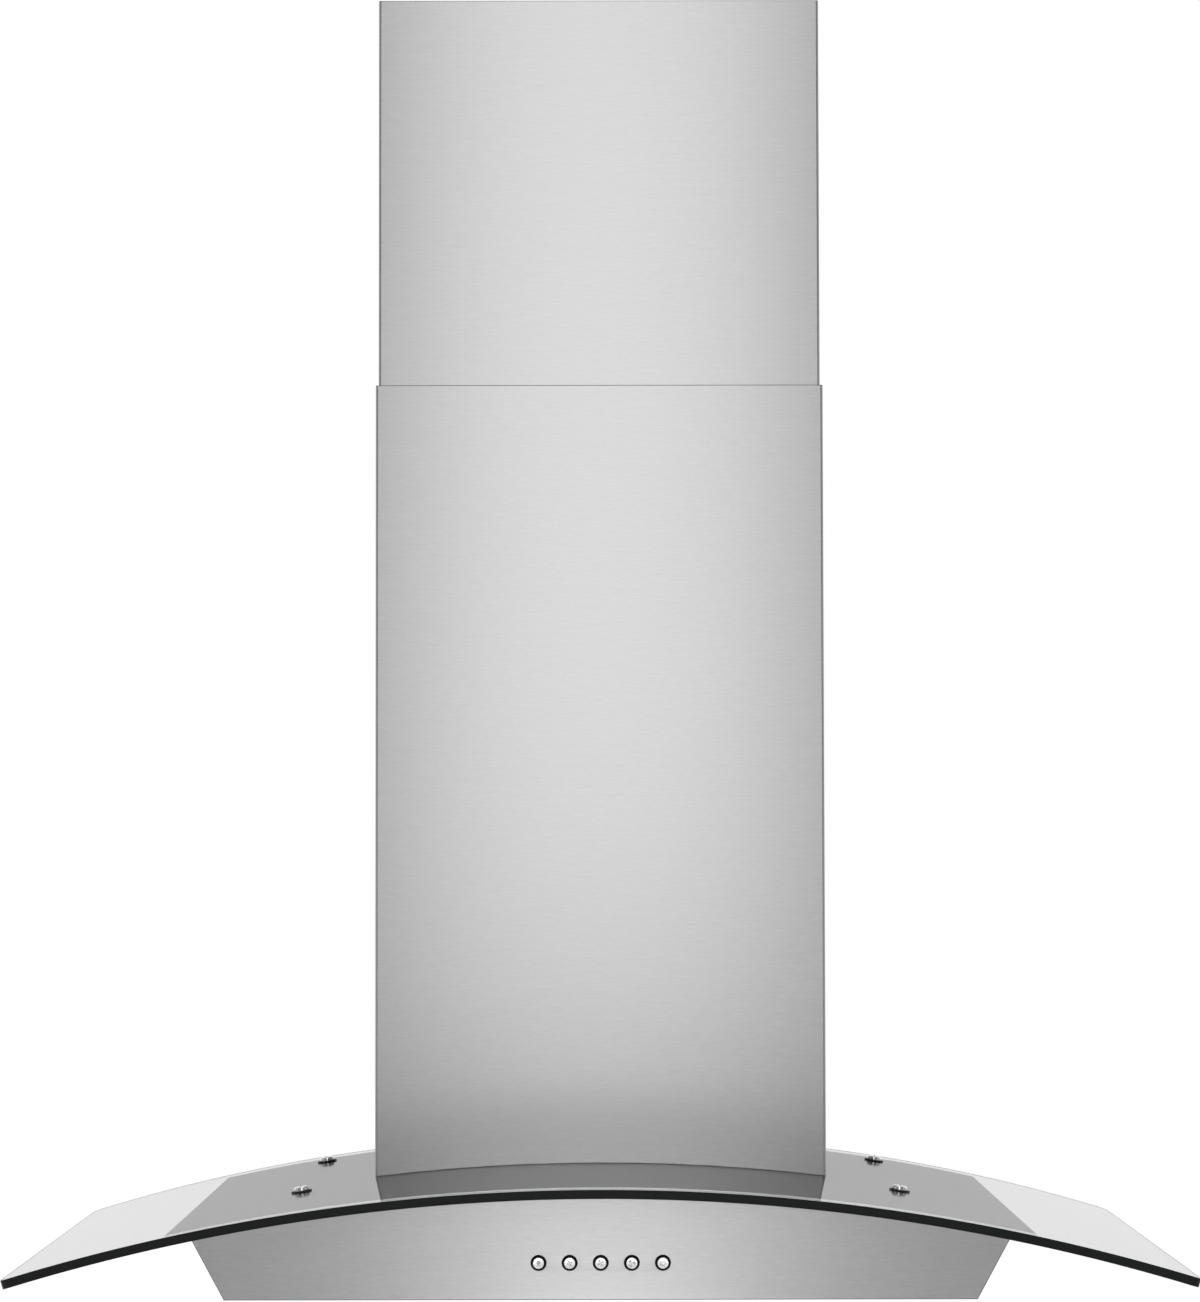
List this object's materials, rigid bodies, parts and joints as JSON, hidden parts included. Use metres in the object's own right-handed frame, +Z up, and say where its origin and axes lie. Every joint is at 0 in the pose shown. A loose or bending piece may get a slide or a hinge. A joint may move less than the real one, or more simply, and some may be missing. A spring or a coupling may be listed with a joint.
{
  "type": "range hood",
  "caption": "Wall-mounted chimney range hood with an arched clear glass canopy, sloping steel body, push buttons, grease filters and telescoping chimney.",
  "frame": {"origin": "centre of the four wall screws, on the back panel's rear face, which is the wall", "axes": "+Z up, +X to the right of someone facing the hood, +Y into the wall, front towards -Y"},
  "size_m": [0.762, 0.49, 0.8799],
  "materials": {
    "brushed_steel": "horizontal brushed grain",
    "steel_sheet": "plain zinc-coated sheet",
    "clear_glass": "clear tempered glass, polished dark edge",
    "chrome": "polished",
    "rubber": "matte black",
    "zinc_screws": "zinc-plated",
    "button_metal": "satin chrome",
    "black_plastic": "black moulded",
    "grey_plastic": "grey moulded",
    "white_plastic": "off-white moulded",
    "filter_aluminium": "satin rolled",
    "lamp_glass": "frosted lens",
    "cast_aluminium": "cast heat sink",
    "circuit_board": "green board with black relays",
    "spring_steel": "bright wire",
    "motor_steel": "grey lacquer",
    "copper": "varnished windings"
  },
  "bodies": {
    "root": {"glass_canopy": "clear_glass", "glass_screws": "chrome", "glass_washers": "rubber", "glass_pads": "rubber", "glass_nuts": "zinc_screws", "top_plate": "brushed_steel", "front_panel": "brushed_steel", "side_panel_right": "brushed_steel", "side_panel_left": "brushed_steel", "back_panel": "steel_sheet", "bottom_pan": "brushed_steel", "pan_rivets": "zinc_screws", "lower_chimney": "brushed_steel", "lower_chimney_screws": "zinc_screws", "switch_housing": "black_plastic", "button_springs": "spring_steel", "lamp_bezels": "chrome", "lamp_lenses": "lamp_glass", "lamp_housings": "cast_aluminium", "control_box": "white_plastic", "control_box_cover": "white_plastic", "control_board": "circuit_board", "terminal_block": "white_plastic", "motor_stator": "copper", "motor_case": "motor_steel", "motor_bearings": "spring_steel", "motor_bracket": "steel_sheet", "motor_bushes": "rubber", "capacitor": "white_plastic", "scroll_right": "black_plastic", "scroll_left": "black_plastic", "motor_box": "steel_sheet", "motor_box_lid": "steel_sheet", "motor_box_screws": "zinc_screws", "duct_collar": "black_plastic", "collar_screws": "zinc_screws", "damper_pin": "spring_steel", "cable_gland": "black_plastic"},
    "upper_chimney": {"upper_chimney": "brushed_steel", "chimney_bracket": "steel_sheet", "chimney_bracket_screws": "zinc_screws"},
    "filter_right": {"filter_frame_right": "filter_aluminium", "filter_mesh_right": "filter_aluminium", "latch_spring_right": "spring_steel"},
    "filter_left": {"filter_frame_left": "filter_aluminium", "filter_mesh_left": "filter_aluminium", "latch_spring_left": "spring_steel"},
    "latch_right": {"filter_latch_right": "black_plastic"},
    "latch_left": {"filter_latch_left": "black_plastic"},
    "fan": {"impeller": "grey_plastic", "impeller_blades": "grey_plastic", "motor_shaft": "spring_steel", "motor_rotor": "motor_steel"},
    "damper_front": {"damper_flap_front": "grey_plastic"},
    "damper_back": {"damper_flap_back": "grey_plastic"},
    "light_button": {"light_button": "button_metal"},
    "low_speed_button": {"low_speed_button": "button_metal"},
    "mid_speed_button": {"mid_speed_button": "button_metal"},
    "high_speed_button": {"high_speed_button": "button_metal"},
    "power_button": {"power_button": "button_metal"}
  },
  "joints": [
    {"name": "upper_chimney_slide", "type": "slide", "parent": "root", "child": "upper_chimney", "axis": [0, 0, 1], "range_m": [-0.23, 0.15]},
    {"name": "fan_spin", "type": "hinge", "parent": "root", "child": "fan", "pos_m": [0, -0.1065, 0], "axis": [1, 0, 0], "continuous": true},
    {"name": "light_button_press", "type": "slide", "parent": "root", "child": "light_button", "axis": [0, 1, 0], "range_m": [0, 0.003], "stiffness_N_per_m": 300, "springref_m": -0.002, "deforming": ["button_springs"]},
    {"name": "low_speed_button_press", "type": "slide", "parent": "root", "child": "low_speed_button", "axis": [0, 1, 0], "range_m": [0, 0.003], "stiffness_N_per_m": 300, "springref_m": -0.002, "deforming": ["button_springs"]},
    {"name": "mid_speed_button_press", "type": "slide", "parent": "root", "child": "mid_speed_button", "axis": [0, 1, 0], "range_m": [0, 0.003], "stiffness_N_per_m": 300, "springref_m": -0.002, "deforming": ["button_springs"]},
    {"name": "high_speed_button_press", "type": "slide", "parent": "root", "child": "high_speed_button", "axis": [0, 1, 0], "range_m": [0, 0.003], "stiffness_N_per_m": 300, "springref_m": -0.002, "deforming": ["button_springs"]},
    {"name": "power_button_press", "type": "slide", "parent": "root", "child": "power_button", "axis": [0, 1, 0], "range_m": [0, 0.003], "stiffness_N_per_m": 300, "springref_m": -0.002, "deforming": ["button_springs"]},
    {"name": "filter_right_tilt", "type": "hinge", "parent": "root", "child": "filter_right", "pos_m": [0.1182, -0.062, -0.1668], "axis": [1, 0, 0], "range_deg": [0, 55]},
    {"name": "latch_right_pull", "type": "slide", "parent": "filter_right", "child": "latch_right", "axis": [0, 1, 0], "range_m": [0, 0.005], "stiffness_N_per_m": 300, "springref_m": -0.002, "deforming": ["latch_spring_right"]},
    {"name": "filter_left_tilt", "type": "hinge", "parent": "root", "child": "filter_left", "pos_m": [-0.1182, -0.062, -0.1668], "axis": [1, 0, 0], "range_deg": [0, 55]},
    {"name": "latch_left_pull", "type": "slide", "parent": "filter_left", "child": "latch_left", "axis": [0, 1, 0], "range_m": [0, 0.005], "stiffness_N_per_m": 300, "springref_m": -0.002, "deforming": ["latch_spring_left"]},
    {"name": "damper_front_swing", "type": "hinge", "parent": "root", "child": "damper_front", "pos_m": [0, -0.16, 0.125], "axis": [-1, 0, 0], "range_deg": [0, 75]},
    {"name": "damper_back_swing", "type": "hinge", "parent": "root", "child": "damper_back", "pos_m": [0, -0.16, 0.125], "axis": [1, 0, 0], "range_deg": [0, 75]}
  ]
}
